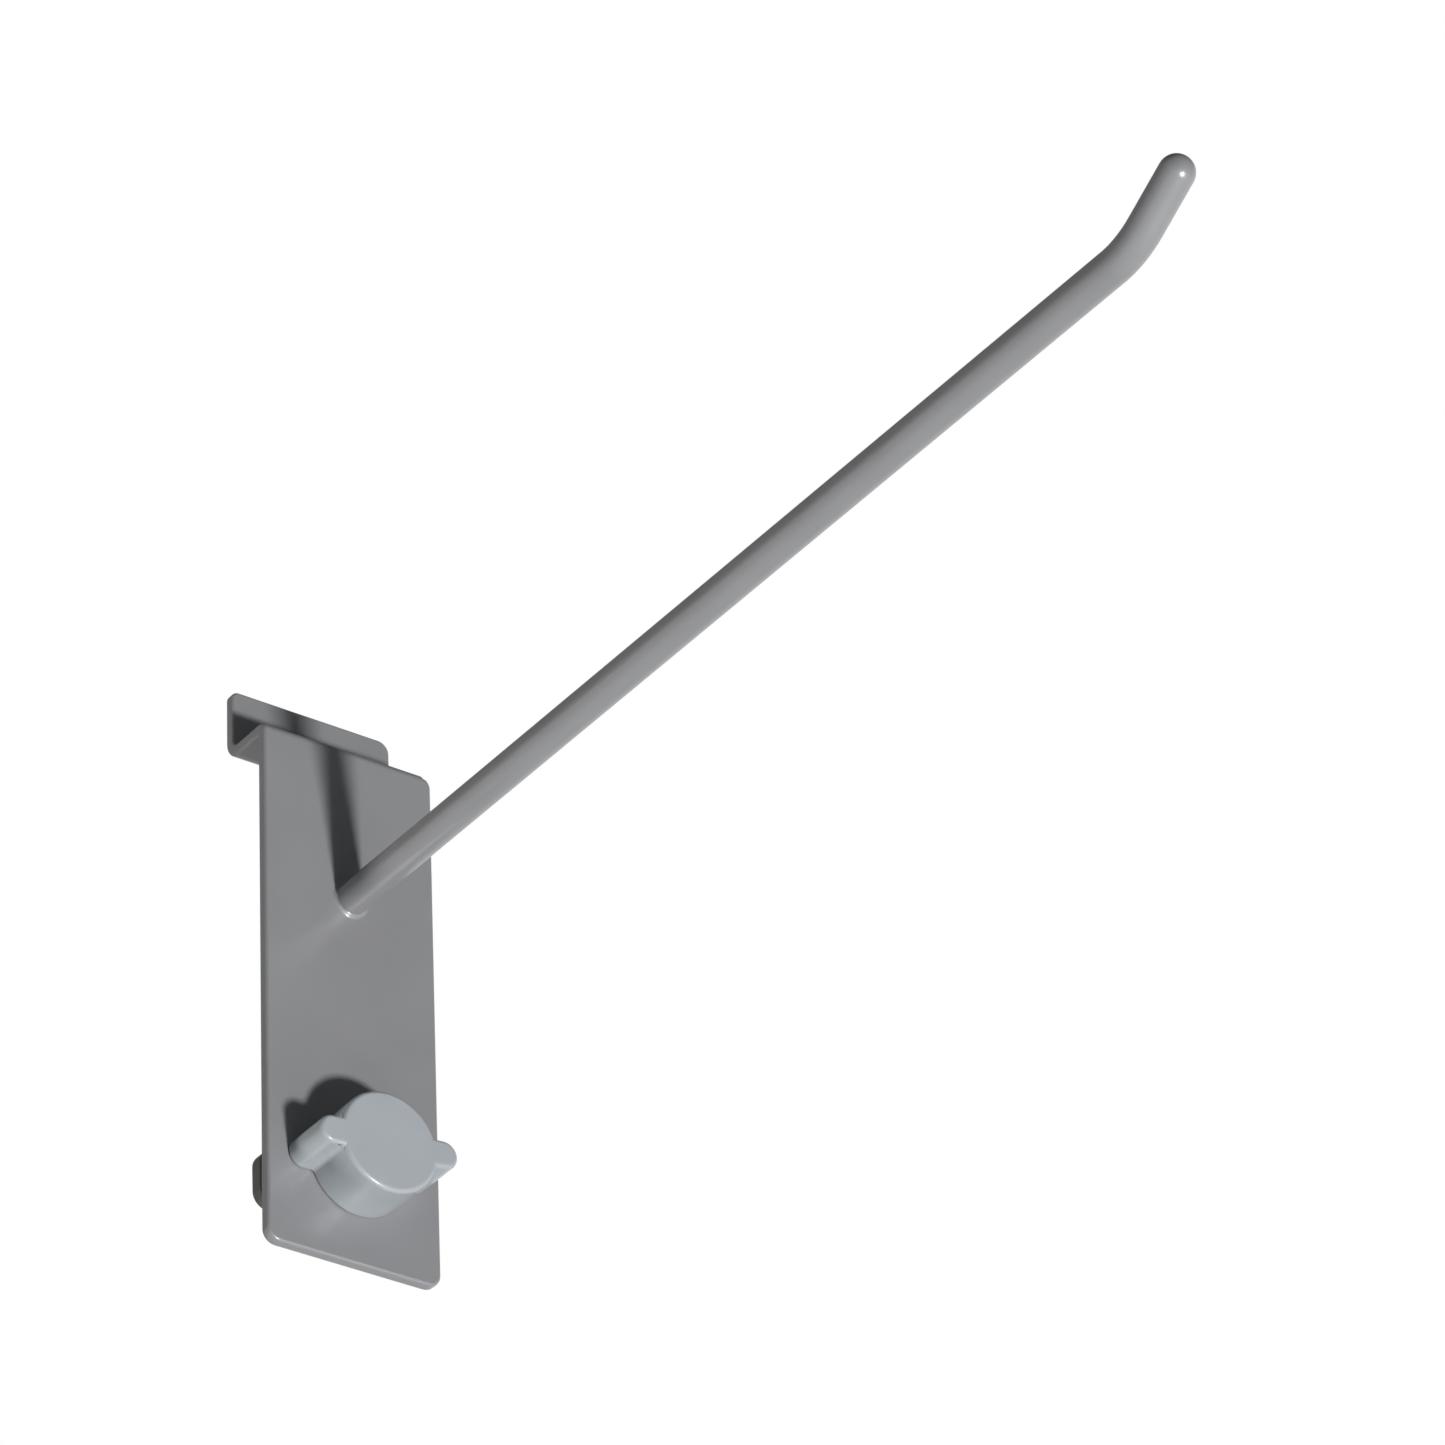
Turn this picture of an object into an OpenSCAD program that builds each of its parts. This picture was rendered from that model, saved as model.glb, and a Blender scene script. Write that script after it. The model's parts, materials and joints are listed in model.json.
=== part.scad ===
// Slatwall display hook with a twist lock.
// A folded steel plate hangs in one groove of a slatted wall panel, a bent wire
// prong carries the goods, and a plastic knob turns a T-bar behind the next
// groove down, so that the hook can't be knocked off the wall.
//
// Frame: X runs across the plate, +Y points into the wall and +Z points up.
// Y = 0 is the wall's face, where the plate's back rests. Z = 0 is the
// underside of the shelf, which sits on the lower edge of the upper groove.

/* [Wall panel] */
// Distance from one groove to the next
groove_pitch = 76.2; // [70:0.1:105]
// Height of a groove's mouth
groove_mouth = 9.5; // [9:0.1:12]
// Thickness of the panel's edge in front of a groove
groove_edge = 6.35; // [5:0.05:9]

/* [Back plate] */
// Width of the plate
plate_width = 30; // [26:0.5:50]
// Thickness of the coated sheet
sheet = 2; // [1.5:0.1:2.5]
// Length of plate below the lock's axis
plate_below_lock = 16.1; // [14:0.1:30]
// How far the lock's hole sits to the right of the plate's centre
lock_side = 0.4; // [-2:0.1:2]
// Radius of the plate's two bottom corners
bottom_corner = 2.2; // [0.5:0.1:6]
// Radius on the outside of the fold at the plate's top
fold_radius = 1.8; // [0.8:0.1:2]
// Radius inside the fold at the plate's top
fold_inside = 0.3; // [0.1:0.1:1]

/* [Hanging lip] */
// Play between the panel's edge and the lip
lip_play = 0.65; // [0.3:0.05:1.5]
// Height of the lip above the shelf
lip_rise = 10.2; // [7:0.1:12]
// Radius inside the bend between shelf and lip
lip_bend = 1.3; // [0.5:0.1:2]
// How far the right end of the shelf and lip is set in, and the shoulder's radius
lip_inset = 1.5; // [0.5:0.1:4]
// Radius of the lip's upper right corner
lip_corner = 2; // [0.5:0.1:5]

/* [Prong] */
// Diameter of the coated wire
wire = 5.2; // [4:0.1:7]
// Depth of the prong's axis below the shelf's underside
prong_drop = 25.5; // [15:0.5:40]
// Straight length from the plate to the bend
prong_straight = 187.6; // [40:0.1:300]
// Bend radius at the wire's centre line
prong_bend = 14.2; // [8:0.1:30]
// Angle of the upturned end
prong_angle = 31.3; // [10:0.1:45]
// Straight length after the bend, up to the domed tip
prong_tail = 8.4; // [2:0.1:30]
// How far the free end's stem starts inside the bend
tail_lap = 0.2; // [0.1:0.05:0.3]
// How much smaller that stem's radius is, so that it stays inside the bend there
tail_step = 0.01; // [0.01:0.01:0.05]
// Leg of the weld fillet at the root
weld_leg = 0.9; // [0.4:0.1:2]
// Thickness of the fillet's blunt toes
weld_toe = 0.12; // [0.05:0.01:0.3]

/* [Lock knob] */
// Diameter of the round knob
knob_diameter = 16.5; // [14:0.1:24]
// Height of the knob's face above its rear rim
knob_height = 9; // [6:0.1:14]
// Distance from ear tip to ear tip
ear_span = 23.9; // [21:0.1:34]
// Thickness of an ear
ear_thickness = 4.6; // [3:0.1:7]
// Radius of the edge round the knob's face
face_edge = 0.7; // [0.2:0.05:1]
// Radius of the hollow where an ear meets the round knob
ear_hollow = 0.9; // [0.3:0.1:1.5]
// Wall of the knob, which is hollow from behind
knob_wall = 1.6; // [1:0.1:2.5]
// Thickness of the knob's face
knob_face = 1.8; // [1.2:0.1:3]
// Thickness of the ribs inside the knob
knob_rib = 1.2; // [0.8:0.1:2]
// Wall of the boss that holds the screw
boss_wall = 1.4; // [1:0.1:2]
// How far the ears are turned up from level, as the lock was left
knob_turn = 4; // [0:0.5:90]

/* [Lock spindle and T-bar] */
// Diameter of the spindle in the plate
spindle = 7; // [6:0.1:8]
// Running clearance of the spindle in the plate's hole
spindle_clearance = 0.08; // [0.05:0.01:0.1]
// Play between the plate and the lock's pieces on each side of it
end_play = 0.15; // [0.1:0.01:0.3]
// Width of the dog that drives the T-bar
dog_width = 2.4; // [1.5:0.1:3]
// Height of the dog
dog_height = 1.6; // [1:0.1:2.5]
// Clearance round the dog in its slot
dog_clearance = 0.05; // [0.02:0.01:0.15]
// Play of the neck above and below in the groove's mouth
neck_play = 0.25; // [0.1:0.05:0.5]
// Play of the T-bar above and below in the groove's mouth
bar_play = 0.15; // [0.1:0.05:0.4]
// Play between the panel's edge and the T-bar
bar_gap = 0.25; // [0.1:0.05:1]
// How far the T-bar's left end is turned down from level at the same time
bar_turn = 0.5; // [0:0.5:90]
// Length of the T-bar
bar_length = 22.6; // [16:0.1:30]
// Thickness of the T-bar
bar_thickness = 2.3; // [1.8:0.1:4]
// Radius of the T-bar's corners
bar_corner = 2.6; // [1:0.1:4]
// Lead-in bevel along the T-bar's long front edges
bar_bevel = 0.7; // [0.2:0.1:1.2]

/* [Screw] */
// Diameter of the screw's thread
screw = 3; // [2.5:0.1:3.5]
// Length of the screw under its head
screw_length = 14; // [10:0.5:15]
// Diameter of the screw's head
screw_head = 5.6; // [5:0.1:6]
// Height of the screw's head
head_height = 2; // [1.5:0.1:2.2]
// Height of the head's domed part
head_dome = 0.9; // [0.6:0.1:1.2]
// Length of the screw's point
point_length = 2.4; // [1.5:0.1:3]
// Length of the driver's cross slots in the head
cross_length = 3.2; // [2.5:0.1:4]
// Width of the cross slots
cross_width = 0.7; // [0.5:0.05:1]
// Angle at which the driver left the cross
cross_turn = 15; // [0:5:90]
// Depth of the cross slots
cross_depth = 1.1; // [0.8:0.1:1.3]
// Depth of the head below the T-bar's back
head_sink = 0.2; // [0.1:0.1:1]
// Clearance round the screw in the T-bar's hole
screw_clearance = 0.15; // [0.1:0.05:0.3]
// How much the thread bites on each side of its pilot hole
thread_bite = 0.25; // [0.1:0.05:0.4]

/* [Hidden] */
$fn = 64;
// Overlap that lets a cut pass right through a face
pass = 1;

// Places that follow from the sizes above
lock_z = -groove_pitch + groove_mouth / 2;
plate_bottom = lock_z - plate_below_lock;
lip_front = groove_edge + lip_play;
lip_top = sheet + lip_rise;
lip_right = plate_width / 2 - lip_inset;
prong_z = -prong_drop;
wire_r = wire / 2;
knob_r = knob_diameter / 2;
ear_r = ear_thickness / 2;
spindle_r = spindle / 2;
boss_r = spindle_r + boss_wall;
neck_r = groove_mouth / 2 - neck_play;
bar_height = groove_mouth - 2 * bar_play;
bar_front = groove_edge + bar_gap;
bar_back = bar_front + bar_thickness;
pilot_r = screw / 2 - thread_bite;
head_r = screw_head / 2;
head_seat = bar_back - head_sink - head_height;

steel = [0.54, 0.54, 0.56];
grey_plastic = [0.65, 0.67, 0.69];
dark_plastic = [0.3, 0.3, 0.31];
zinc = [0.75, 0.75, 0.73];

// Corner of a sheet seen edge on: a square of side r, less the round that it keeps
module corner_waste(r) {
    difference() {
        translate([-pass, 0]) square([r + pass, r + pass]);
        translate([r, 0]) circle(r);
    }
}

// Inside corner filled with a fillet of radius r, in the quarter x < 0, y < 0
module inside_fillet(r) {
    difference() {
        translate([-r, -r]) square(r);
        translate([-r, -r]) circle(r);
    }
}

// Rectangle from a low corner to a high corner
module span(low, high) {
    translate(low) square(high - low);
}

// Side view of the folded sheet, with Y to the right and Z up
module fold_profile() {
    bend_y = lip_front - lip_bend;
    bend_z = sheet + lip_bend;
    difference() {
        span([-sheet, plate_bottom], [0, sheet]);
        translate([-sheet, sheet - fold_radius]) corner_waste(fold_radius);
    }
    span([-sheet + fold_radius, 0], [bend_y, sheet]);
    mirror([1, 0]) inside_fillet(fold_inside);
    intersection() {
        translate([bend_y, bend_z]) difference() {
            circle(lip_bend + sheet);
            circle(lip_bend);
        }
        span([bend_y, 0], [lip_front + sheet, bend_z]);
    }
    span([lip_front, bend_z], [lip_front + sheet, lip_top]);
}

// Front view of the plate, with round corners but for the upper left one
module plate_outline() {
    half = plate_width / 2;
    difference() {
        span([-half, plate_bottom], [half, sheet]);
        translate([-half, plate_bottom + bottom_corner]) mirror([0, 1]) corner_waste(bottom_corner);
        translate([half, plate_bottom + bottom_corner]) rotate(180) corner_waste(bottom_corner);
        translate([half, sheet - lip_inset]) mirror([1, 0]) corner_waste(lip_inset);
    }
}

// Front view of the shelf and lip, with one round corner
module lip_outline() {
    difference() {
        span([-plate_width / 2, -fold_inside - pass], [lip_right, lip_top]);
        translate([lip_right, lip_top - lip_corner]) mirror([1, 0]) corner_waste(lip_corner);
    }
}

// Stands a front view up in the XZ plane, from y_low back to y_high
module stand_up(y_low, y_high) {
    translate([0, y_high, 0]) rotate([90, 0, 0]) linear_extrude(y_high - y_low) children();
}

// Places a piece of the lock: its own Z points out of the wall, from depth y
module on_lock(y, turn = 0) {
    translate([lock_side, y, lock_z]) rotate([90, 0, 0]) rotate(turn) children();
}

module back_plate() {
    color(steel) difference() {
        intersection() {
            translate([-plate_width / 2, 0, 0]) rotate([90, 0, 90])
                linear_extrude(plate_width) fold_profile();
            union() {
                stand_up(-sheet - pass, 0) plate_outline();
                stand_up(0, lip_front + sheet + pass) lip_outline();
            }
        }
        on_lock(pass) cylinder(r = spindle_r + spindle_clearance, h = sheet + 2 * pass);
    }
}

// Half section of the wire's free end, with its domed tip
module tail_section() {
    r = wire_r - tail_step;
    translate([0, -tail_lap]) square([r, prong_tail + tail_lap]);
    intersection() {
        translate([0, prong_tail]) circle(r);
        translate([0, prong_tail]) square(r);
    }
}

module prong() {
    color(steel) union() {
        translate([0, -sheet, prong_z]) rotate([90, 0, 0]) cylinder(r = wire_r, h = prong_straight);
        translate([0, -sheet - prong_straight, prong_z + prong_bend]) rotate([0, 90, 180]) {
            rotate_extrude(angle = prong_angle) translate([prong_bend, 0]) circle(wire_r);
            rotate(prong_angle) translate([prong_bend, 0, 0]) rotate([-90, 0, 0])
                rotate_extrude() tail_section();
        }
    }
}

module weld_fillet() {
    color(steel) translate([0, -sheet, prong_z]) rotate([90, 0, 0]) rotate_extrude() difference() {
        translate([wire_r, 0]) square(weld_leg);
        translate([wire_r + weld_leg + weld_toe, weld_leg + weld_toe]) circle(weld_leg);
    }
}

// Half section of a round post of radius r and height h, with a round upper edge
module post_section(r, h, edge) {
    square([r - edge, h]);
    square([r, h - edge]);
    translate([r - edge, h - edge]) circle(edge);
}

// Front view of the hollow between the round knob and one side of one ear
module ear_hollow_outline() {
    side = ear_r + ear_hollow;
    reach = knob_r + ear_hollow;
    x = sqrt(reach * reach - side * side);
    share = knob_r / reach;
    difference() {
        polygon([[x * share, 0], [x, 0], [x, side], [x * share, side * share]]);
        translate([x, side]) circle(ear_hollow);
    }
}

// The knob's outer form: a round post and two ears, with the face's edge rounded
module knob_body() {
    ear_x = ear_span / 2 - ear_r;
    rotate_extrude() post_section(knob_r, knob_height, face_edge);
    translate([-ear_x, 0, 0]) rotate([90, 0, 90]) linear_extrude(2 * ear_x) for (s = [0, 1])
        mirror([s, 0]) post_section(ear_r, knob_height, face_edge);
    for (s = [-1, 1]) {
        translate([s * ear_x, 0, 0]) rotate_extrude() post_section(ear_r, knob_height, face_edge);
    }
    for (a = [0, 1], b = [0, 1]) mirror([a, 0, 0]) mirror([0, b, 0])
        linear_extrude(knob_height - face_edge) ear_hollow_outline();
}

// The space behind the knob's face, round the boss and between the ribs
module knob_hollow() {
    depth = knob_height - knob_face;
    translate([0, 0, -pass]) difference() {
        cylinder(r = knob_r - knob_wall, h = depth + pass);
        cylinder(r = boss_r, h = depth + pass);
        for (a = [0, 90]) rotate(a) translate([-knob_r, -knob_rib / 2, 0])
            cube([2 * knob_r, knob_rib, depth + pass]);
    }
}

module lock_knob() {
    spindle_length = sheet + 2 * end_play;
    slot_depth = dog_height + dog_clearance;
    slot_width = dog_width + 2 * dog_clearance;
    pilot_depth = screw_length - head_seat + end_play + pass;
    color(grey_plastic) on_lock(-sheet - end_play, knob_turn) difference() {
        union() {
            difference() {
                knob_body();
                knob_hollow();
            }
            translate([0, 0, -spindle_length]) cylinder(r = spindle_r, h = spindle_length + knob_face);
        }
        rotate(bar_turn - knob_turn) translate([-spindle_r - pass, -slot_width / 2, -spindle_length - pass])
            cube([spindle + 2 * pass, slot_width, slot_depth + pass]);
        translate([0, 0, -spindle_length - pass]) cylinder(r = pilot_r, h = pilot_depth + pass);
    }
}

// Front view of the T-bar
module bar_outline() {
    x = bar_length / 2;
    y = bar_height / 2;
    span([-x + bar_corner, -y], [x - bar_corner, y]);
    span([-x, -y + bar_corner], [x, y - bar_corner]);
    for (a = [-1, 1], b = [-1, 1])
        translate([a * (x - bar_corner), b * (y - bar_corner)]) circle(bar_corner);
}

// End view of the T-bar, with its two front edges bevelled
module bar_end() {
    y = bar_height / 2;
    polygon([[-y, 0], [y, 0], [y, bar_thickness - bar_bevel], [y - bar_bevel, bar_thickness],
             [-y + bar_bevel, bar_thickness], [-y, bar_thickness - bar_bevel]]);
}

module lock_cam() {
    neck_length = bar_back - end_play;
    dog_top = neck_length + dog_height;
    hole_r = screw / 2 + screw_clearance;
    color(dark_plastic) on_lock(bar_back, bar_turn) difference() {
        union() {
            intersection() {
                linear_extrude(bar_thickness) bar_outline();
                translate([-bar_length / 2 - pass, 0, 0]) rotate([90, 0, 90])
                    linear_extrude(bar_length + 2 * pass) bar_end();
            }
            cylinder(r = neck_r, h = neck_length);
            intersection() {
                translate([-spindle_r, -dog_width / 2, 0]) cube([spindle, dog_width, dog_top]);
                cylinder(r = spindle_r - dog_clearance, h = dog_top);
            }
        }
        translate([0, 0, -pass]) cylinder(r = hole_r, h = dog_top + 2 * pass);
        translate([0, 0, -pass]) cylinder(r = head_r + screw_clearance, h = bar_back - head_seat + pass);
    }
}

// Half section of the screw, with its head below and its point up
module screw_section() {
    dome_r = (head_r * head_r + head_dome * head_dome) / (2 * head_dome);
    translate([0, -head_height + head_dome]) square([head_r, head_height - head_dome]);
    intersection() {
        translate([0, -head_height + dome_r]) circle(dome_r);
        translate([0, -head_height]) square([head_r, head_dome]);
    }
    polygon([[0, 0], [screw / 2, 0], [screw / 2, screw_length - point_length], [0, screw_length]]);
}

module cam_screw() {
    color(zinc) on_lock(head_seat, cross_turn) difference() {
        rotate_extrude() screw_section();
        for (a = [0, 90]) rotate(a)
            translate([-cross_length / 2, -cross_width / 2, -head_height - pass])
                cube([cross_length, cross_width, cross_depth + pass]);
    }
}

back_plate();
prong();
weld_fillet();
lock_knob();
lock_cam();
cam_screw();
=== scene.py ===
# %% [markdown]
# # A slatwall hook in grey powder coat
# The hook is a folded steel plate, a bent wire prong and a plastic twist lock.
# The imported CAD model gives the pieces, their places and their joint. This
# script dresses it: it folds the plate from a soft-edged blank, draws the wire
# as one smooth sweep, gives each surface its finish, and sets light and camera.

# %% Load the frame
import json
from math import cos, pi, radians, sin

import bmesh
import bpy
from mathutils import Matrix, Vector, noise


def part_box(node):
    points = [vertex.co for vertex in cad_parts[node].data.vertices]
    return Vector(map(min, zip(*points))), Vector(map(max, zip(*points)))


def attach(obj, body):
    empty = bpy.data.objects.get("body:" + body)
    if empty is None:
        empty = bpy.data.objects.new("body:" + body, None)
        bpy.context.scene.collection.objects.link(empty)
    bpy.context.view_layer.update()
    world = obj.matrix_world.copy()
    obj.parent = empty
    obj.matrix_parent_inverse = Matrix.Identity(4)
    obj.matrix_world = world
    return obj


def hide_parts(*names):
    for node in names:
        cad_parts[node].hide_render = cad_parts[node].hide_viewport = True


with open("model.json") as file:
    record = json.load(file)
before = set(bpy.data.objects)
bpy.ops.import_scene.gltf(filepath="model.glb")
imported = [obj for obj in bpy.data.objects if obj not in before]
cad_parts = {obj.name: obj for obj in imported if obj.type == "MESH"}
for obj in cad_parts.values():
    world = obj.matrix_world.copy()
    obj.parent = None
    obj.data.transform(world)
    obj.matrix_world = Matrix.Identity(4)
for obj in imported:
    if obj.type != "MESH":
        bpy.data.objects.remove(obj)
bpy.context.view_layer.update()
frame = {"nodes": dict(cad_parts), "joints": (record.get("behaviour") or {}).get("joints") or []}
MM = 0.001
bpy.context.scene.view_settings.view_transform = "Standard"

# %% [markdown]
# ## Where the camera stood
# The photograph was taken from below and from the left, with a long lens, so
# that parallel edges hardly converge. A camera has three turns: the heading
# round the vertical, the tilt upwards, and a small roll. Writing them as angles
# is clearer than a matrix of nine numbers.

# %% Camera
CAMERA_PLACE = Vector((-527.75, -808.32, -623.51)) * MM
HEADING, TILT, ROLL = radians(36.597), radians(33.084), radians(-2.701)
LENS = 188.07
camera_data = bpy.data.cameras.new("camera")
camera_data.lens = LENS
camera_data.sensor_width = 36
camera_data.dof.use_dof = False
camera = bpy.data.objects.new("camera", camera_data)
bpy.context.scene.collection.objects.link(camera)
camera.matrix_world = (
    Matrix.Translation(CAMERA_PLACE)
    @ Matrix.Rotation(-HEADING, 4, "Z")
    @ Matrix.Rotation(pi / 2 + TILT, 4, "X")
    @ Matrix.Rotation(ROLL, 4, "Z")
)
bpy.context.scene.camera = camera
print("camera", [round(v, 3) for v in camera.location], "lens", LENS)

# %% [markdown]
# ## Sizes that the frame gives
# The pieces below are drawn round the CAD nodes, so their sizes are read from
# the boxes of those nodes. Only what a box can't tell, such as a bend's
# radius, is written out.

# %% Sizes
plate_low, plate_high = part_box("back_plate")
prong_low, prong_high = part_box("prong")
LOCK_AXIS = Vector(frame["joints"][0]["pos_m"])
SHEET = 2.0 * MM
PLATE_FRONT = plate_low.y
WIRE_RADIUS = prong_high.x
PRONG_HEIGHT = prong_low.z + WIRE_RADIUS
print("wire radius", round(WIRE_RADIUS / MM, 3), "prong axis at z", round(PRONG_HEIGHT / MM, 2))

# %% [markdown]
# ## Two small helpers
# Every piece starts as a bmesh and ends as an object at the origin, so that a
# pattern on Object coordinates has the same scale on all of them. A finished
# piece rides on the CAD body that it belongs to, and takes that CAD node's
# place.

# %% Helpers for pieces
def finish_piece(bm, name, body, stands_for, sharp=40):
    bmesh.ops.recalc_face_normals(bm, faces=bm.faces)
    mesh = bpy.data.meshes.new(name)
    bm.to_mesh(mesh)
    bm.free()
    mesh.shade_smooth()
    mesh.set_sharp_from_angle(angle=radians(sharp))
    piece = bpy.data.objects.new(name, mesh)
    bpy.context.scene.collection.objects.link(piece)
    weighted = piece.modifiers.new("Even shading", "WEIGHTED_NORMAL")
    weighted.keep_sharp = True
    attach(piece, body)
    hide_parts(stands_for)
    print(name, len(mesh.vertices), "vertices", len(mesh.polygons), "faces")
    return piece


def inner_edges(bm, verts):
    inside = set(verts)
    return [e for e in {e for v in verts for e in v.link_edges} if set(e.verts) <= inside]


# %% [markdown]
# ## The plate's blank
# The plate starts as a flat blank, as in the factory: a strip whose right side
# steps in for the lip. Each corner gets its own round from a vertex bevel. Then
# a square is cut out round the lock's axis and bridged to a ring of 64 points,
# which is the hole. In the blank, X runs across and Z runs along the strip.

# %% Blank
HALF_WIDTH = plate_high.x
PLATE_LENGTH = 87.75 * MM
FOLD_LENGTH = 1.65 * MM
SHELF_LENGTH = 5.4 * MM
BEND_LENGTH = 3.61 * MM
LIP_LENGTH = 8.9 * MM
SHOULDER = PLATE_LENGTH + 0.8 * MM
BLANK_LENGTH = PLATE_LENGTH + FOLD_LENGTH + SHELF_LENGTH + BEND_LENGTH + LIP_LENGTH
LIP_RIGHT = HALF_WIDTH - 1.5 * MM
LOWER_CORNER, SHOULDER_CORNER = 2.2 * MM, 1.5 * MM
LIP_CORNER_RIGHT, LIP_CORNER_LEFT = 2.0 * MM, 1.2 * MM
CORNER_STEPS = 8
HOLE_RADIUS = 3.58 * MM
HOLE_POINTS = 64
HOLE_SQUARE = 6 * MM
SLACK = 0.01 * MM
BOTTOM = plate_low.z


def rounded_outline(bm, corners):
    verts = [bm.verts.new((x, 0, z)) for x, z, radius in corners]
    bm.faces.new(verts)
    for vert, (_, _, radius) in zip(verts, corners):
        if radius:
            bmesh.ops.bevel(
                bm, geom=[vert], offset=radius, offset_type="OFFSET", affect="VERTICES",
                segments=CORNER_STEPS, profile=0.5, material=-1,
            )


def cut_across(bm, place, normal):
    geom = bm.verts[:] + bm.edges[:] + bm.faces[:]
    bmesh.ops.bisect_plane(bm, geom=geom, plane_co=place, plane_no=normal, dist=1e-8)


plate_bm = bmesh.new()
rounded_outline(plate_bm, [
    (-HALF_WIDTH, 0, LOWER_CORNER),
    (HALF_WIDTH, 0, LOWER_CORNER),
    (HALF_WIDTH, SHOULDER, SHOULDER_CORNER),
    (LIP_RIGHT, SHOULDER, 0),
    (LIP_RIGHT, BLANK_LENGTH, LIP_CORNER_RIGHT),
    (-HALF_WIDTH, BLANK_LENGTH, LIP_CORNER_LEFT),
])
hole_middle = Vector((LOCK_AXIS.x, 0, LOCK_AXIS.z - BOTTOM))
for side in (-1, 1):
    cut_across(plate_bm, hole_middle + Vector((side * HOLE_SQUARE, 0, 0)), (1, 0, 0))
    cut_across(plate_bm, hole_middle + Vector((0, 0, side * HOLE_SQUARE)), (0, 0, 1))
square = min(plate_bm.faces, key=lambda face: (face.calc_center_median() - hole_middle).length)
square_edges = square.edges[:]
bmesh.ops.delete(plate_bm, geom=[square], context="FACES_ONLY")
bmesh.ops.bisect_edges(plate_bm, edges=square_edges, cuts=HOLE_POINTS // 4 - 1)


def on_square(v):
    away = v.co - hole_middle
    return max(abs(away.x), abs(away.z)) < HOLE_SQUARE + SLACK


rim = [edge for edge in plate_bm.edges if all(on_square(v) for v in edge.verts)]
hole_turn = Matrix.Rotation(pi / 2, 4, "X") @ Matrix.Rotation(pi / 4, 4, "Z")
hole = bmesh.ops.create_circle(
    plate_bm, segments=HOLE_POINTS, radius=HOLE_RADIUS, matrix=Matrix.Translation(hole_middle) @ hole_turn
)["verts"]
bmesh.ops.bridge_loops(plate_bm, edges=rim + inner_edges(plate_bm, hole))
print("blank", len(plate_bm.faces), "faces before it is thick")

# %% [markdown]
# ## Thickness and the coat's soft edges
# The blank is extruded to the sheet's thickness. A punched edge is sharp, but
# powder melts into a skin that draws back from it, so every outer edge is
# bevelled to a round of half a millimetre. Rows of edges are then cut across
# the two zones that will bend.

# %% Sheet
COAT_ROUND = 0.5 * MM
COAT_STEPS = 5
FOLD_ROWS = 10
BEND_ROWS = 14
sheet = bmesh.ops.extrude_face_region(plate_bm, geom=plate_bm.faces[:])["geom"]
sheet_verts = [g for g in sheet if isinstance(g, bmesh.types.BMVert)]
bmesh.ops.translate(plate_bm, verts=sheet_verts, vec=(0, SHEET, 0))
bmesh.ops.recalc_face_normals(plate_bm, faces=plate_bm.faces)
outer = [
    edge for edge in plate_bm.edges
    if edge.calc_face_angle(0) > radians(60) and abs(edge.verts[0].co.y - edge.verts[1].co.y) < 1e-6
    and (edge.verts[0].co - hole_middle).xz.length > HOLE_RADIUS + COAT_ROUND
]
bmesh.ops.bevel(
    plate_bm, geom=outer, offset=COAT_ROUND, offset_type="OFFSET", affect="EDGES",
    segments=COAT_STEPS, profile=0.5, material=-1, clamp_overlap=False,
)
FOLD_END = PLATE_LENGTH + FOLD_LENGTH
BEND_START = FOLD_END + SHELF_LENGTH
BEND_END = BEND_START + BEND_LENGTH
for row in range(FOLD_ROWS + 1):
    cut_across(plate_bm, (0, 0, PLATE_LENGTH + FOLD_LENGTH * row / FOLD_ROWS), (0, 0, 1))
for row in range(BEND_ROWS + 1):
    cut_across(plate_bm, (0, 0, BEND_START + BEND_LENGTH * row / BEND_ROWS), (0, 0, 1))
print("flat sheet", len(plate_bm.faces), "faces")

# %% [markdown]
# ## Folding the sheet
# Each point keeps its X. Its place along the strip says whether it is on the
# plate, in the fold, on the shelf, in the bend or on the lip, and its depth in
# the sheet says on which radius it turns. The outside of the fold is round, and
# its inside is nearly sharp, as the brake's tool leaves it.

# %% Fold
FOLD_OUTSIDE = 1.8 * MM
FOLD_INSIDE = 0.3 * MM
BEND_RADIUS = 1.3 * MM
LIP_FRONT = plate_high.y - SHEET
BEND_CENTRE_Y = LIP_FRONT - BEND_RADIUS
BEND_CENTRE_Z = SHEET + BEND_RADIUS


def folded(along, depth):
    deep = depth / SHEET
    if along <= PLATE_LENGTH:
        top = (SHEET - FOLD_OUTSIDE) * (1 - deep) - FOLD_INSIDE * deep
        return PLATE_FRONT + depth, BOTTOM + (top - BOTTOM) * along / PLATE_LENGTH
    if along <= FOLD_END:
        turn = pi / 2 * (along - PLATE_LENGTH) / FOLD_LENGTH
        inward, down = 1 - cos(turn), 1 - sin(turn)
        outside = Vector((FOLD_OUTSIDE * inward - SHEET, SHEET - FOLD_OUTSIDE * down))
        inside = Vector((FOLD_INSIDE * inward, -FOLD_INSIDE * down))
        return outside.lerp(inside, deep)
    if along <= BEND_START:
        share = (along - FOLD_END) / SHELF_LENGTH
        start = (FOLD_OUTSIDE - SHEET) * (1 - deep) + FOLD_INSIDE * deep
        return start + (BEND_CENTRE_Y - start) * share, SHEET - depth
    if along <= BEND_END:
        turn = pi / 2 * (along - BEND_START) / BEND_LENGTH
        radius = BEND_RADIUS + depth
        return BEND_CENTRE_Y + radius * sin(turn), BEND_CENTRE_Z - radius * cos(turn)
    return LIP_FRONT + depth, BEND_CENTRE_Z + along - BEND_END


for v in plate_bm.verts:
    y, z = folded(v.co.z, v.co.y)
    v.co = Vector((v.co.x, y, z))
bmesh.ops.remove_doubles(plate_bm, verts=plate_bm.verts, dist=2e-7)
plate = finish_piece(plate_bm, "coated_plate", "bracket", "back_plate")

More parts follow.
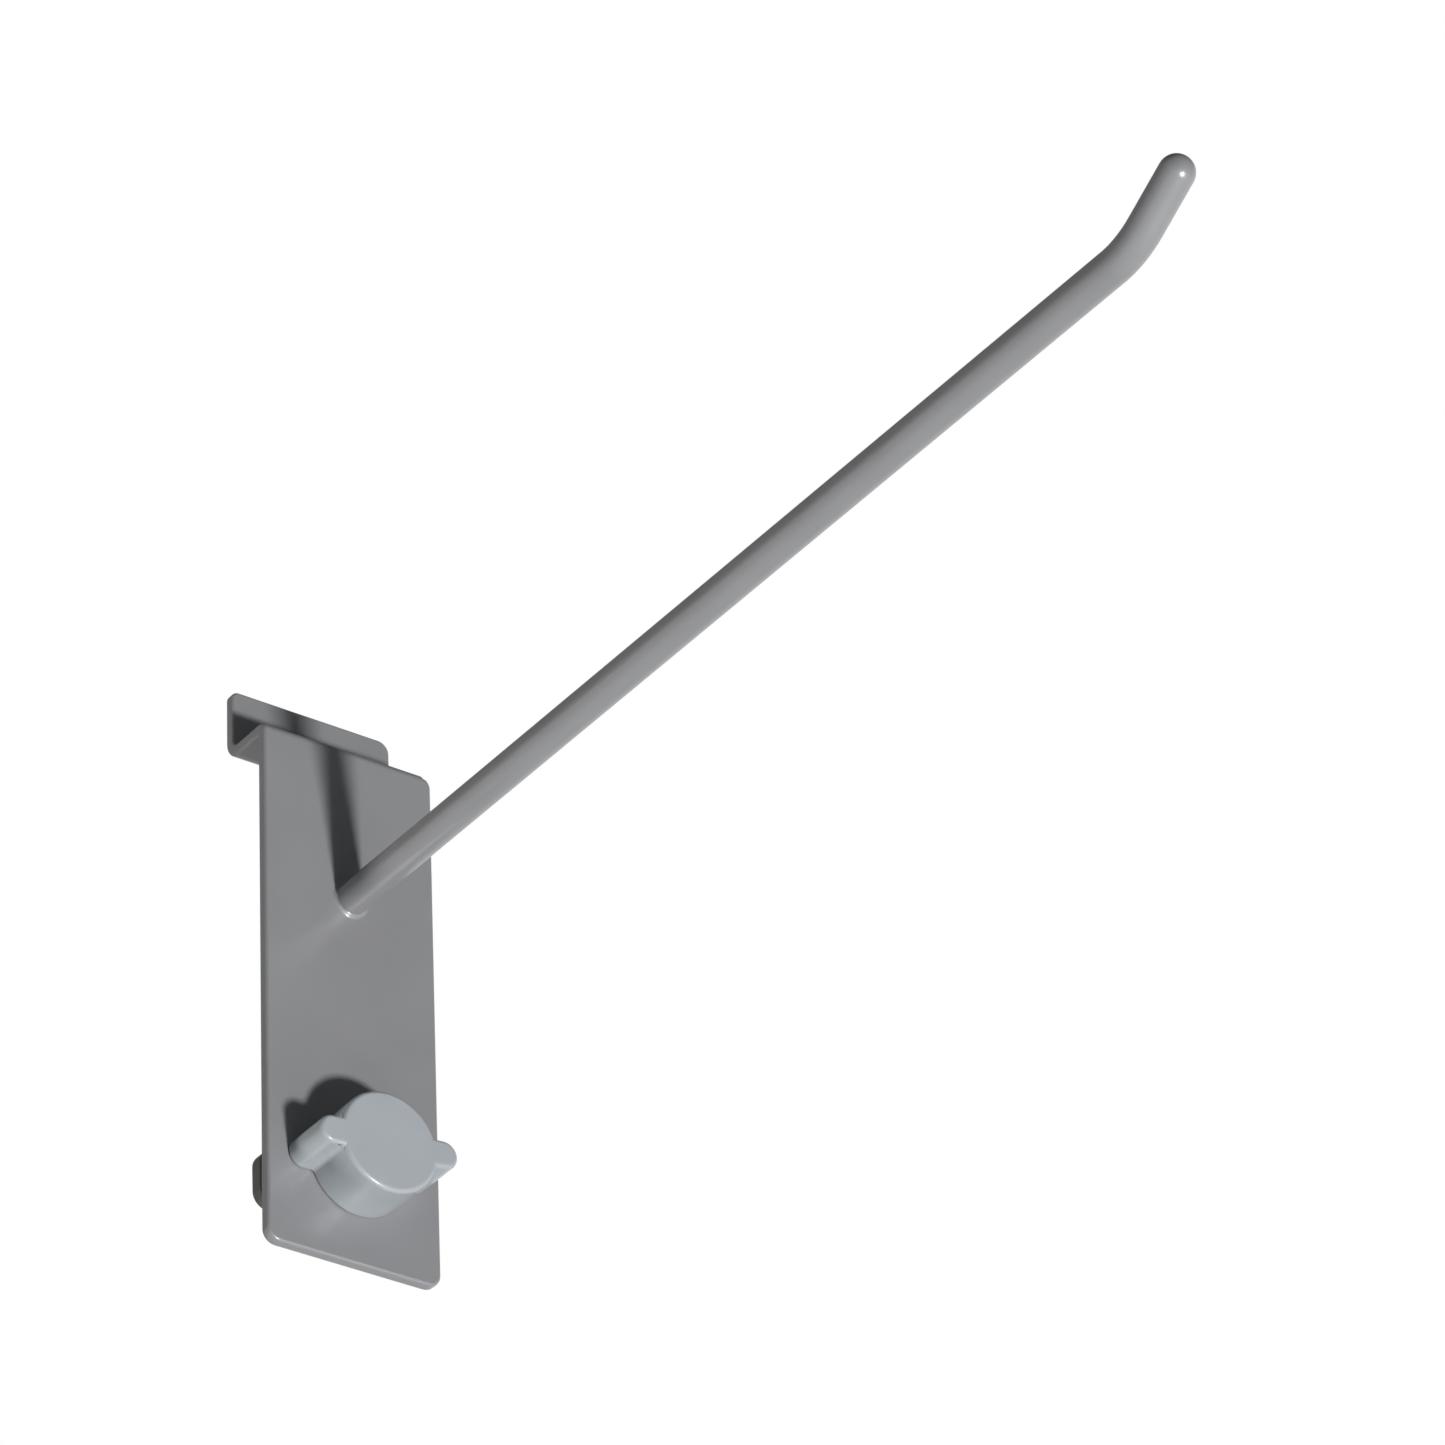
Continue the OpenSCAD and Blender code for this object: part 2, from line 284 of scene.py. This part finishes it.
# %% [markdown]
# ## The wire prong
# The prong is one length of wire, straight, then bent up, with a domed end. A
# ring of edges is extruded along the straight part, spun round the bend's
# centre, extruded again and drawn in to a dome. That is the way the wire
# itself is bent, and it keeps the rings evenly spaced.

# %% Prong
AROUND = 64
STRAIGHT = 187.6 * MM
STRAIGHT_STEPS = 30
WIRE_BEND = 14.2 * MM
WIRE_ANGLE = radians(31.3)
BEND_STEPS = 24
TAIL = 8.4 * MM
TAIL_STEPS = 4
DOME_STEPS = 12
prong_bm = bmesh.new()
root_at = Matrix.Translation((0, PLATE_FRONT, PRONG_HEIGHT)) @ Matrix.Rotation(pi / 2, 4, "X")
ring = bmesh.ops.create_circle(
    prong_bm, cap_ends=True, segments=AROUND, radius=WIRE_RADIUS, matrix=root_at
)["verts"]


def push_ring(bm, verts, move):
    grown = bmesh.ops.extrude_edge_only(bm, edges=inner_edges(bm, verts))["geom"]
    verts = [g for g in grown if isinstance(g, bmesh.types.BMVert)]
    bmesh.ops.translate(bm, verts=verts, vec=move)
    return verts


for step in range(STRAIGHT_STEPS):
    ring = push_ring(prong_bm, ring, Vector((0, -STRAIGHT / STRAIGHT_STEPS, 0)))
spun = bmesh.ops.spin(
    prong_bm, geom=inner_edges(prong_bm, ring), axis=(-1, 0, 0),
    cent=Vector((0, PLATE_FRONT - STRAIGHT, PRONG_HEIGHT + WIRE_BEND)),
    angle=WIRE_ANGLE, steps=BEND_STEPS, use_duplicate=False,
)
ring = [g for g in spun["geom_last"] if isinstance(g, bmesh.types.BMVert)]
along = Vector((0, -cos(WIRE_ANGLE), sin(WIRE_ANGLE)))
for step in range(TAIL_STEPS):
    ring = push_ring(prong_bm, ring, along * TAIL / TAIL_STEPS)
for step in range(1, DOME_STEPS):
    before, after = (pi / 2 * k / DOME_STEPS for k in (step - 1, step))
    ring = push_ring(prong_bm, ring, along * WIRE_RADIUS * (sin(after) - sin(before)))
    middle = sum((v.co for v in ring), Vector()) / len(ring)
    share = cos(after) / cos(before)
    bmesh.ops.scale(prong_bm, vec=(share,) * 3, space=Matrix.Translation(-middle), verts=ring)
tip = push_ring(prong_bm, ring, along * WIRE_RADIUS * (1 - sin(after)))
bmesh.ops.pointmerge(prong_bm, verts=tip, merge_co=sum((v.co for v in tip), Vector()) / len(tip))
prong = finish_piece(prong_bm, "wire_prong", "bracket", "prong")

# %% [markdown]
# ## The weld at the root
# The wire is butted to the plate and welded, which squeezes out a small collar
# of metal. The coat runs over it, so that it looks soft but a little uneven. A
# hollow profile is spun round the wire, then its points are moved in and out by
# smooth noise.

# %% Weld
WELD_LEG = 0.55 * MM
WELD_STEPS = 96
WELD_WAVE, WELD_UNEVEN = 1.6 * MM, 0.14 * MM
WELD_CURVE = [(-0.2, 0), (1, 0), (0.55, 0.18), (0.28, 0.42), (0.1, 0.72), (-0.2, 1)]
weld_bm = bmesh.new()
weld_verts = [
    weld_bm.verts.new((WIRE_RADIUS + WELD_LEG * out, PLATE_FRONT - WELD_LEG * up, PRONG_HEIGHT))
    for out, up in WELD_CURVE
]
weld_profile = [weld_bm.edges.new(pair) for pair in zip(weld_verts, weld_verts[1:] + weld_verts[:1])]
bmesh.ops.spin(
    weld_bm, geom=weld_profile, cent=(0, PLATE_FRONT, PRONG_HEIGHT), axis=(0, 1, 0),
    angle=2 * pi, steps=WELD_STEPS, use_merge=True, use_duplicate=False,
)
for v in weld_bm.verts:
    out = Vector((v.co.x, 0, v.co.z - PRONG_HEIGHT))
    if v.co.y > PLATE_FRONT - SLACK or out.length < WIRE_RADIUS:
        continue
    v.co += out.normalized() * noise.noise(v.co / WELD_WAVE) * WELD_UNEVEN
weld = finish_piece(weld_bm, "weld_collar", "bracket", "weld_fillet")

# %% [markdown]
# ## The lock's plastic pieces
# The knob and the T-bar are copies of the CAD nodes. Moulded plastic has crisp
# edges with a radius of a quarter of a millimetre or so. The CAD already
# rounds the knob's face, so the bevel here only takes the outer edges that are
# left: the knob's rear rim and the T-bar's front and back outlines.

# %% Knob and T-bar
MOULD_ROUND = 0.22 * MM
MOULD_STEPS = 3
KNOB_OUTSIDE = 8.0 * MM
BAR_OUTSIDE, BAR_FRONT = 4.6 * MM, 6.0 * MM


def from_lock_axis(edge):
    middle = (edge.verts[0].co + edge.verts[1].co) / 2
    return Vector((middle.x - LOCK_AXIS.x, middle.z - LOCK_AXIS.z)).length, middle.y


def outside_of_knob(edge):
    reach, y = from_lock_axis(edge)
    return reach > KNOB_OUTSIDE and y < PLATE_FRONT


def outside_of_bar(edge):
    reach, y = from_lock_axis(edge)
    return reach > BAR_OUTSIDE and y > BAR_FRONT


def moulded_copy(node, name, chosen):
    bm = bmesh.new()
    bm.from_mesh(frame["nodes"][node].data)
    bmesh.ops.remove_doubles(bm, verts=bm.verts, dist=1e-7)
    bmesh.ops.dissolve_limit(bm, angle_limit=radians(0.4), verts=bm.verts, edges=bm.edges)
    edges = [e for e in bm.edges if e.calc_face_angle(0) > radians(50) and chosen(e)]
    bmesh.ops.bevel(
        bm, geom=edges, offset=MOULD_ROUND, offset_type="OFFSET", affect="EDGES",
        segments=MOULD_STEPS, profile=0.5, material=-1, clamp_overlap=False,
    )
    return finish_piece(bm, name, "lock", node, sharp=35)


knob = moulded_copy("lock_knob", "twist_knob", outside_of_knob)
cam = moulded_copy("lock_cam", "t_bar_cam", outside_of_bar)

# %% [markdown]
# ## Helpers for the finishes
# Each finish is a small node tree on the Principled shader. A value that is the
# same everywhere sits on the shader's own socket. Patterns read Object
# coordinates, so they stay on the surface when the lock turns.

# %% Helpers for finishes
def new_finish(name):
    finish = bpy.data.materials.new(name)
    finish.use_nodes = True
    tree = finish.node_tree
    shader = tree.nodes["Principled BSDF"]
    place = tree.nodes.new("ShaderNodeTexCoord")
    return finish, tree, shader, place.outputs["Object"]


def grain(tree, place, size, detail=2.0, roughness=0.5):
    texture = tree.nodes.new("ShaderNodeTexNoise")
    texture.inputs["Scale"].default_value = 1 / size
    texture.inputs["Detail"].default_value = detail
    texture.inputs["Roughness"].default_value = roughness
    tree.links.new(place, texture.inputs["Vector"])
    return texture.outputs["Fac"]


def ramp(tree, source, low, high, start=0.25, end=0.75):
    node = tree.nodes.new("ShaderNodeMapRange")
    node.interpolation_type = "SMOOTHSTEP"
    node.inputs["From Min"].default_value = start
    node.inputs["From Max"].default_value = end
    node.inputs["To Min"].default_value = low
    node.inputs["To Max"].default_value = high
    tree.links.new(source, node.inputs["Value"])
    return node.outputs["Result"]


def tint(tree, source, dark, light, start=0.25, end=0.75):
    node = tree.nodes.new("ShaderNodeValToRGB")
    node.color_ramp.interpolation = "EASE"
    node.color_ramp.elements[0].position = start
    node.color_ramp.elements[1].position = end
    node.color_ramp.elements[0].color = (*dark, 1)
    node.color_ramp.elements[1].color = (*light, 1)
    tree.links.new(source, node.inputs["Fac"])
    return node.outputs["Color"]


def relief(tree, shader, height, depth, strength=1.0):
    node = tree.nodes.new("ShaderNodeBump")
    node.inputs["Strength"].default_value = strength
    node.inputs["Distance"].default_value = depth
    tree.links.new(height, node.inputs["Height"])
    tree.links.new(node.outputs["Normal"], shader.inputs["Normal"])


def paint(piece, finish):
    piece.data.materials.clear()
    piece.data.materials.append(finish)


# %% [markdown]
# ## Powder coat
# A grey powder coat is semi-gloss: it shows a blurred image of what stands next
# to it, such as the prong in the plate. Up close its skin waves a little, like
# the peel of an orange, at about a millimetre.

# %% Powder coat
COAT_DARK, COAT_LIGHT = (0.247, 0.248, 0.259), (0.261, 0.262, 0.273)
coat, tree, shader, place = new_finish("grey powder coat")
shader.inputs["IOR"].default_value = 1.7
cloud = grain(tree, place, 14 * MM, detail=1)
peel = grain(tree, place, 0.9 * MM, detail=1)
tree.links.new(tint(tree, cloud, COAT_DARK, COAT_LIGHT), shader.inputs["Base Color"])
tree.links.new(ramp(tree, cloud, 0.3, 0.34), shader.inputs["Roughness"])
relief(tree, shader, peel, 0.012 * MM, 0.5)
for piece in (plate, prong, weld):
    paint(piece, coat)

# %% [markdown]
# ## Moulded plastic
# The knob is moulded in a lighter, slightly blue grey. The mould was polished
# but not bright, so it has an even satin surface with hardly any grain. The
# T-bar behind the plate is painted a darker grey. That is painted shade, which
# stands for the shadow that it sits in behind the plate.

# %% Plastic
def moulded(name, dark, light):
    plastic, tree, shader, place = new_finish(name)
    shader.inputs["IOR"].default_value = 1.5
    shader.inputs["Roughness"].default_value = 0.28
    cloud = grain(tree, place, 6 * MM, detail=1)
    fine = grain(tree, place, 0.35 * MM, detail=2)
    tree.links.new(tint(tree, cloud, dark, light), shader.inputs["Base Color"])
    relief(tree, shader, fine, 0.001 * MM, 0.5)
    return plastic


light_grey = moulded("satin light grey plastic", (0.362, 0.39, 0.415), (0.376, 0.405, 0.43))
# The T-bar's darker grey is painted shade for the shadow behind the plate.
shade_painted_grey = moulded("satin plastic darkened as painted shade", (0.115, 0.115, 0.118), (0.125, 0.125, 0.128))
paint(knob, light_grey)
paint(cam, shade_painted_grey)

# %% [markdown]
# ## Zinc plating
# The screw that holds the T-bar on is the one bright metal piece. Its plating
# is slightly mottled, in tone as well as in gloss.

# %% Zinc
zinc, tree, shader, place = new_finish("bright zinc")
shader.inputs["Metallic"].default_value = 1.0
haze = grain(tree, place, 0.6 * MM, detail=3)
tree.links.new(tint(tree, haze, (0.68, 0.68, 0.66), (0.76, 0.76, 0.74)), shader.inputs["Base Color"])
tree.links.new(ramp(tree, haze, 0.24, 0.38), shader.inputs["Roughness"])
relief(tree, shader, haze, 0.004 * MM, 0.4)
screw = frame["nodes"]["cam_screw"]
screw.data.materials.clear()
screw.data.materials.append(zinc)

# %% [markdown]
# ## The four lamps
# The key lamp stands in front and below the plate. Its direction and width
# follow from the shadows: the prong's shadow runs straight up the plate, and
# its edge is about two millimetres soft where the prong is 36 mm off. A wide
# fill at the left lights the sides of the prong, knob and sheet. It stands
# behind the plane of the plate, so it leaves the front and its shadows alone,
# and the plate shades the root of the prong and the knob's rear from it. A weak
# glow from above, close by at the left, lifts the lip and the plate's top. The
# back lamp serves the views from behind.

# %% Lamps
AIM = Vector((0, 0, -45)) * MM


def lamp(name, towards, distance, size, energy):
    data = bpy.data.lights.new(name, "AREA")
    data.shape = "DISK"
    data.size = size
    data.energy = energy
    placed = bpy.data.objects.new(name, data)
    bpy.context.scene.collection.objects.link(placed)
    placed.location = AIM + towards.normalized() * distance
    placed.rotation_euler = towards.to_track_quat("Z", "Y").to_euler()
    print(name, "at", [round(v, 3) for v in placed.location])
    return placed


lamp("key", Vector((0.085, -1.0, -0.78)), distance=3.2, size=0.34, energy=110)
fill = lamp("fill", Vector((-1.0, 0.8, -0.08)), distance=1.2, size=0.5, energy=8.2)
fill.data.color = (1.0, 0.985, 0.96)
glow = lamp("glow", Vector((-0.5, -0.55, 0.75)), distance=0.25, size=0.15, energy=0.022)
back = lamp("back", Vector((0.15, 1.0, 0.45)), distance=1.6, size=0.8, energy=12)
fill.visible_glossy = glow.visible_glossy = back.visible_glossy = False

# %% [markdown]
# ## The room
# A white sweep stands behind the hook and to its right. Glossy and clear
# surfaces mirror it, and matt ones get a little light from it. The camera sees
# plain white everywhere. Away from the sweep the room is dim, so that shadows
# stay deep. A dot product tells how far a ray points towards the sweep.

# %% World
TOWARDS_SWEEP = Vector((0.88, 0.42, 0.05)).normalized()
DIM_MIRRORED, DIM_MATT, SWEEP_MATT = 0.08, 0.075, 0.6
SWEEP_FROM, SWEEP_FULL = 0.55, 0.95
COOL = (0.93, 1.02, 1.02, 1)
WARM = (1.0, 0.96, 0.91, 1)
world = bpy.data.worlds.new("room")
bpy.context.scene.world = world
world.use_nodes = True
tree = world.node_tree
background = tree.nodes["Background"]
direction = tree.nodes.new("ShaderNodeTexCoord")
facing = tree.nodes.new("ShaderNodeVectorMath")
facing.operation = "DOT_PRODUCT"
facing.inputs[1].default_value = TOWARDS_SWEEP
tree.links.new(direction.outputs["Generated"], facing.inputs[0])
mirrored = ramp(tree, facing.outputs["Value"], DIM_MIRRORED, 1.0, SWEEP_FROM, SWEEP_FULL)
matt = ramp(tree, facing.outputs["Value"], DIM_MATT, SWEEP_MATT, SWEEP_FROM, SWEEP_FULL)
rays = tree.nodes.new("ShaderNodeLightPath").outputs


def choose(tree, when, otherwise, value, kind="FLOAT"):
    node = tree.nodes.new("ShaderNodeMix")
    node.data_type = kind
    tree.links.new(when, node.inputs["Factor"])
    sockets = [socket for socket in node.inputs if socket.enabled and socket.name in ("A", "B")]
    for source, socket in zip((otherwise, value), sockets):
        if isinstance(source, bpy.types.NodeSocket):
            tree.links.new(source, socket)
        else:
            socket.default_value = source
    return next(socket for socket in node.outputs if socket.enabled)


level = choose(tree, rays["Is Glossy Ray"], matt, mirrored)
level = choose(tree, rays["Is Transmission Ray"], level, mirrored)
level = choose(tree, rays["Is Camera Ray"], level, 1.0)
tree.links.new(level, background.inputs["Strength"])
sweep_share = ramp(tree, facing.outputs["Value"], 0.0, 1.0, 0.4, 0.95)
matt_colour = choose(tree, sweep_share, COOL, WARM, "RGBA")
colour = choose(tree, rays["Is Diffuse Ray"], (1, 1, 1, 1), matt_colour, "RGBA")
tree.links.new(colour, background.inputs["Color"])

# %% [markdown]
# ## The floor
# The hook hangs well above a plain pale floor. The camera looks up, so the
# floor shows only in views from above. The lamps hardly reach so far down, so
# for the camera and for mirrored rays a share of plain near-white is mixed in.
# The rest is shaded, and keeps the hook's shadow.

# %% Floor
FLOOR_PALE, FLOOR_PLAIN = 0.93, 0.75
FLOOR_HEIGHT, FLOOR_HALF = -2.4, 6
floor_at = Matrix.Translation((0, 0, FLOOR_HEIGHT))
floor_bm = bmesh.new()
bmesh.ops.create_grid(floor_bm, x_segments=1, y_segments=1, size=FLOOR_HALF, matrix=floor_at)
floor_mesh = bpy.data.meshes.new("floor")
floor_bm.to_mesh(floor_mesh)
floor_bm.free()
floor = bpy.data.objects.new("floor", floor_mesh)
bpy.context.scene.collection.objects.link(floor)
floor_finish, tree, shader, _ = new_finish("pale floor")
shader.inputs["Base Color"].default_value = (0.86, 0.86, 0.86, 1)
shader.inputs["Roughness"].default_value = 0.9
plain = tree.nodes.new("ShaderNodeEmission")
plain.inputs["Color"].default_value = (FLOOR_PALE, FLOOR_PALE, FLOOR_PALE, 1)
rays = tree.nodes.new("ShaderNodeLightPath").outputs
seen = choose(tree, rays["Is Camera Ray"], 0.0, FLOOR_PLAIN)
seen = choose(tree, rays["Is Glossy Ray"], seen, FLOOR_PLAIN)
seen = choose(tree, rays["Is Transmission Ray"], seen, FLOOR_PLAIN)
mixed = tree.nodes.new("ShaderNodeMixShader")
tree.links.new(seen, mixed.inputs[0])
tree.links.new(shader.outputs[0], mixed.inputs[1])
tree.links.new(plain.outputs[0], mixed.inputs[2])
tree.links.new(mixed.outputs[0], tree.nodes["Material Output"].inputs["Surface"])
floor_mesh.materials.append(floor_finish)
